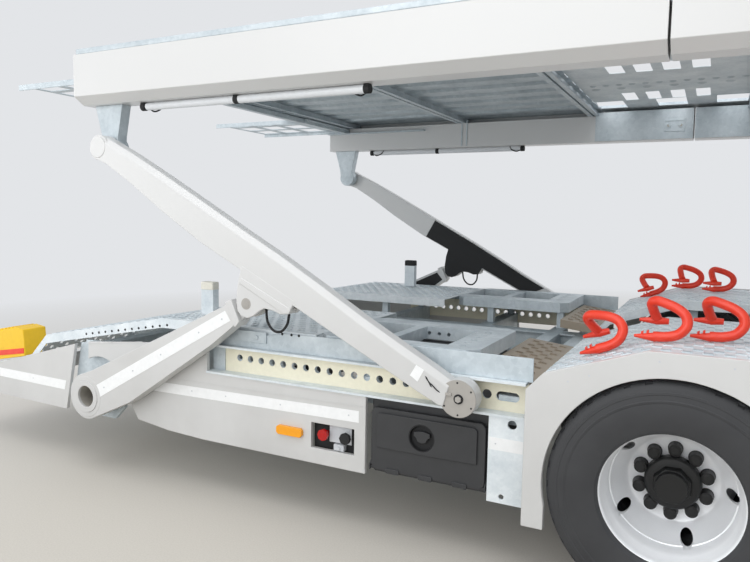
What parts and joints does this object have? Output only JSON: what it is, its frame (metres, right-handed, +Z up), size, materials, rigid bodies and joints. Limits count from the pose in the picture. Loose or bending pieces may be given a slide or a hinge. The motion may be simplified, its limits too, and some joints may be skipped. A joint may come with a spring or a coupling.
{
  "type": "car transporter trailer",
  "caption": "Two-deck car transporter trailer with twin-wheel tandem axles, a drawbar and an upper deck raised by folding arms at both ends.",
  "frame": {"origin": "on the ground, at the middle of the length and width", "axes": "+X along the trailer towards the drawbar, +Y to its left side, +Z up"},
  "size_m": [9.8, 2.55, 2.07],
  "materials": {
    "white_paint": "gloss",
    "galvanised": "matte, galvanised",
    "black_paint": "satin",
    "rim_silver": "satin",
    "tyre": "matte",
    "air_bag_rubber": "matte",
    "dark_plastic": "matte",
    "red_paint": "gloss",
    "amber_lens": "gloss",
    "red_lens": "gloss",
    "yellow_plastic": "matte",
    "light_tube": "gloss",
    "cast_iron": "painted"
  },
  "bodies": {
    "chassis": {"chassis_frame": "galvanised", "drawbar": "galvanised", "towing_eye": "cast_iron", "landing_leg": "galvanised", "axle_beams": "black_paint", "trailing_arms": "black_paint", "air_bags": "air_bag_rubber", "air_tank": "black_paint", "side_channels": "galvanised", "side_skirts": "white_paint", "valve_panel": "dark_plastic", "side_markers": "amber_lens", "toolbox": "dark_plastic", "wheel_arches": "white_paint", "hump_tracks": "galvanised", "arch_end_plates": "galvanised", "rear_tracks": "galvanised", "front_tracks": "galvanised", "well_frames": "galvanised", "deck_stools": "galvanised", "guide_beams": "galvanised", "wheel_hooks": "red_paint", "rear_side_panels": "white_paint", "rear_beam": "white_paint", "tail_lamps": "red_lens", "deck_stakes": "white_paint", "wheel_chock": "yellow_plastic"},
    "toolbox_lid": {"toolbox_lid": "dark_plastic"},
    "rear_short_arms": {"rear_lift_tube": "white_paint", "rear_short_arms": "white_paint"},
    "rear_long_arms": {"rear_long_arms": "white_paint"},
    "front_short_arms": {"front_lift_tube": "white_paint", "front_short_arms": "white_paint"},
    "front_long_arms": {"front_long_arms": "white_paint", "front_top_pins": "galvanised"},
    "upper_deck": {"deck_side_beams": "white_paint", "deck_crossbeams": "galvanised", "deck_ribbed_sheets": "galvanised", "deck_middle_sheets": "galvanised", "deck_top_rails": "white_paint", "deck_brackets": "galvanised", "deck_lights": "light_tube", "extension_shelves": "galvanised"},
    "deck_extensions": {"deck_extensions": "galvanised"},
    "rear_left_wheel": {"rear_left_tyres": "tyre", "rear_left_rims": "rim_silver", "rear_left_hub": "black_paint"},
    "rear_right_wheel": {"rear_right_tyres": "tyre", "rear_right_rims": "rim_silver", "rear_right_hub": "black_paint"},
    "front_left_wheel": {"front_left_tyres": "tyre", "front_left_rims": "rim_silver", "front_left_hub": "black_paint"},
    "front_right_wheel": {"front_right_tyres": "tyre", "front_right_rims": "rim_silver", "front_right_hub": "black_paint"}
  },
  "joints": [
    {"name": "rear_left_wheel_spin", "type": "hinge", "parent": "chassis", "child": "rear_left_wheel", "pos_m": [-1.15, 1.0155, 0.398], "axis": [0, 1, 0], "continuous": true},
    {"name": "rear_right_wheel_spin", "type": "hinge", "parent": "chassis", "child": "rear_right_wheel", "pos_m": [-1.15, -1.0155, 0.398], "axis": [0, 1, 0], "continuous": true},
    {"name": "front_left_wheel_spin", "type": "hinge", "parent": "chassis", "child": "front_left_wheel", "pos_m": [0.16, 1.0155, 0.398], "axis": [0, 1, 0], "continuous": true},
    {"name": "front_right_wheel_spin", "type": "hinge", "parent": "chassis", "child": "front_right_wheel", "pos_m": [0.16, -1.0155, 0.398], "axis": [0, 1, 0], "continuous": true},
    {"name": "deck_lift", "type": "hinge", "parent": "chassis", "child": "rear_short_arms", "pos_m": [-3.821, 0, 0.385], "axis": [0, -1, 0], "range_deg": [-15, 15]},
    {"name": "rear_long_arm_swing", "type": "hinge", "parent": "rear_short_arms", "child": "rear_long_arms", "pos_m": [-2.827, 0, 0.922], "axis": [0, -1, 0], "range_deg": [-32, 32]},
    {"name": "deck_level", "type": "hinge", "parent": "rear_long_arms", "child": "upper_deck", "pos_m": [-3.7, 0, 1.606], "axis": [0, -1, 0], "range_deg": [-16.5, 16.5]},
    {"name": "front_short_arm_swing", "type": "hinge", "parent": "chassis", "child": "front_short_arms", "pos_m": [3.521, 0, 0.385], "axis": [0, 1, 0], "range_deg": [-16, 16]},
    {"name": "front_long_arm_swing", "type": "hinge", "parent": "front_short_arms", "child": "front_long_arms", "pos_m": [2.527, 0, 0.922], "axis": [0, 1, 0], "range_deg": [-32, 32]},
    {"name": "deck_extension_slide", "type": "slide", "parent": "upper_deck", "child": "deck_extensions", "axis": [1, 0, 0], "range_m": [0, 0.6]},
    {"name": "toolbox_lid_hinge", "type": "hinge", "parent": "chassis", "child": "toolbox_lid", "pos_m": [-2.0275, -1.174, 0.284], "axis": [1, 0, 0], "range_deg": [0, 95]}
  ],
  "couplings": [
    {"joint": "rear_long_arm_swing", "follows": "deck_lift", "ratio": -2.04},
    {"joint": "deck_level", "follows": "deck_lift", "ratio": 1.04},
    {"joint": "front_short_arm_swing", "follows": "deck_lift", "ratio": 1},
    {"joint": "front_long_arm_swing", "follows": "deck_lift", "ratio": -2.04}
  ]
}
